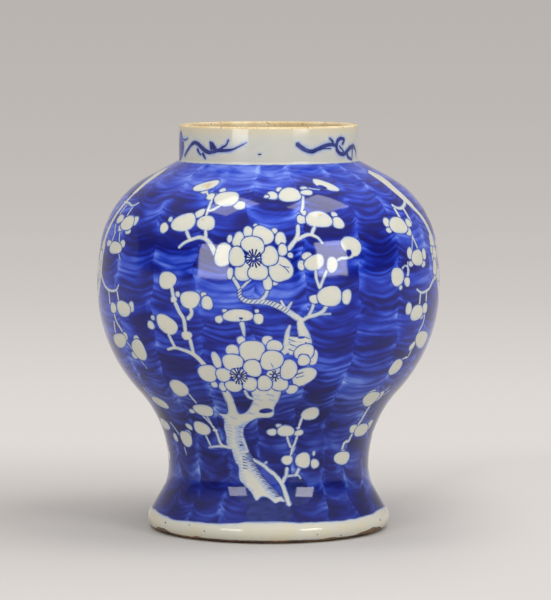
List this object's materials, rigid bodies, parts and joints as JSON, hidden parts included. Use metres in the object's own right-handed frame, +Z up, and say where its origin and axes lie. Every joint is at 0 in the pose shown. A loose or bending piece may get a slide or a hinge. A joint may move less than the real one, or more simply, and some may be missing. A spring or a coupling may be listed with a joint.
{
  "type": "baluster vase",
  "caption": "Round-bellied porcelain vase with a wide straight neck and a flared foot, thrown in sections that are luted together and closed by a disc recessed in the foot.",
  "frame": {"origin": "middle of the foot ring, on the plane that the vase stands on", "axes": "+Z up along the vase's axis towards the lip; -Y faces the side that the picture shows"},
  "size_m": [0.2118, 0.2118, 0.25],
  "materials": {
    "white_glaze": "clear gloss over white porcelain",
    "cobalt_glaze": "clear gloss over brushed cobalt blue with white prunus reserved in it",
    "slip": "bare fired clay, matt"
  },
  "bodies": {
    "root": {"neck_collar": "white_glaze", "neck_luting_slip": "slip", "shoulder_section": "cobalt_glaze", "girth_luting_slip": "slip", "belly_section": "cobalt_glaze", "waist_luting_slip": "slip", "foot_section": "cobalt_glaze", "base_luting_slip": "slip", "base_disc": "white_glaze"}
  },
  "joints": []
}
